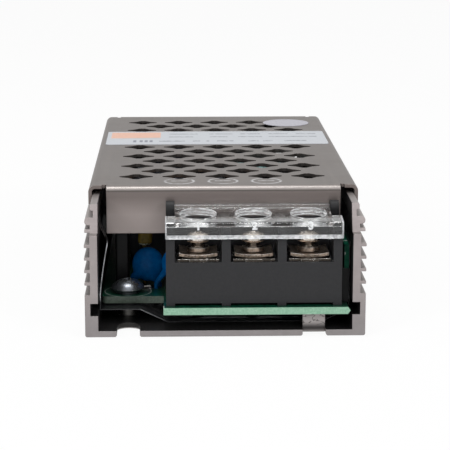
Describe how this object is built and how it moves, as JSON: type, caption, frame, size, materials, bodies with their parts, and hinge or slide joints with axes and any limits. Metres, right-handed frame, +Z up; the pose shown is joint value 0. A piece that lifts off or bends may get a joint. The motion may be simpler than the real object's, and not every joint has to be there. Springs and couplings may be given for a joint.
{
  "type": "led power supply",
  "caption": "Slim enclosed LED power supply: finned aluminium channel, vented clip-over cover, barrier terminal blocks under hinged clear covers, and its board inside.",
  "frame": {"origin": "middle of the flat bottom", "axes": "+X across the case, +Y along it from the mains input end to the output end, +Z up through the cover"},
  "size_m": [0.062, 0.14, 0.0311],
  "materials": {
    "case_aluminium": "extruded, warm grey",
    "cover_aluminium": "rolled sheet, satin",
    "label_white": "satin film",
    "sticker_silver": "silvery",
    "clear_film": "clear film",
    "board_green": "solder mask",
    "nickel_screw": "nickel plated",
    "standoff_steel": "plated",
    "block_black": "moulded, satin",
    "clear_plastic": "clear moulded",
    "terminal_nickel": "warm nickel plate",
    "coating_blue": "dipped coating",
    "coating_olive": "dipped coating",
    "box_black": "moulded",
    "box_yellow": "moulded",
    "box_brown": "moulded",
    "box_blue": "moulded",
    "ferrite": "sintered",
    "copper_wire": "enamelled wire",
    "can_sleeve": "shrink sleeve",
    "pad_grey": "soft",
    "clip_steel": "spring steel",
    "tape_teal": "wound tape",
    "core_powder": "coated powder ring",
    "lamp_green": "diffused lens",
    "rotor_white": "moulded"
  },
  "bodies": {
    "supply": {"extruded_case": "case_aluminium", "top_cover": "cover_aluminium", "rating_label": "label_white", "inspection_sticker": "sticker_silver", "insulation_film": "clear_film", "circuit_board": "board_green", "board_screws": "nickel_screw", "board_standoffs": "standoff_steel", "input_terminal_block": "block_black", "input_terminal_plates": "terminal_nickel", "input_terminal_screws": "nickel_screw", "input_lock_washers": "terminal_nickel", "input_clamp_washers": "terminal_nickel", "output_terminal_block": "block_black", "output_terminal_plates": "terminal_nickel", "output_terminal_screws": "nickel_screw", "output_lock_washers": "terminal_nickel", "output_clamp_washers": "terminal_nickel", "disc_capacitor_left": "coating_blue", "disc_capacitor_right": "coating_blue", "inrush_thermistor": "coating_olive", "surge_varistor": "coating_blue", "small_film_capacitor": "box_black", "x_capacitor": "box_yellow", "input_fuse": "box_brown", "line_choke_core": "ferrite", "line_choke_windings": "copper_wire", "line_choke_base": "box_black", "bulk_capacitor": "can_sleeve", "bridge_rectifier": "box_black", "switching_transistor": "box_black", "transistor_pad": "pad_grey", "transistor_clip": "clip_steel", "transformer_core": "ferrite", "transformer_bobbin": "box_black", "transformer_winding": "tape_teal", "output_rectifier_1": "box_black", "output_rectifier_2": "box_black", "rectifier_pad": "pad_grey", "rectifier_clip": "clip_steel", "output_choke_core": "core_powder", "output_choke_winding": "copper_wire", "output_capacitor_1": "can_sleeve", "output_capacitor_2": "can_sleeve", "output_capacitor_3": "can_sleeve", "optocoupler": "box_black", "control_header": "box_black", "control_board": "board_green", "indicator_led": "lamp_green", "voltage_trimmer": "box_blue"},
    "input_cover": {"input_terminal_cover": "clear_plastic"},
    "output_cover": {"output_terminal_cover": "clear_plastic"},
    "rotor": {"trimmer_rotor": "rotor_white"}
  },
  "joints": [
    {"name": "input_cover_hinge", "type": "hinge", "parent": "supply", "child": "input_cover", "pos_m": [0.0064, -0.057, 0.02635], "axis": [-1, 0, 0], "range_deg": [0, 98]},
    {"name": "output_cover_hinge", "type": "hinge", "parent": "supply", "child": "output_cover", "pos_m": [-0.0064, 0.057, 0.02635], "axis": [1, 0, 0], "range_deg": [0, 98]},
    {"name": "trimmer_turn", "type": "hinge", "parent": "supply", "child": "rotor", "pos_m": [0.0234, 0.0584, 0.01045], "axis": [0, 1, 0], "range_deg": [-130, 130]}
  ]
}
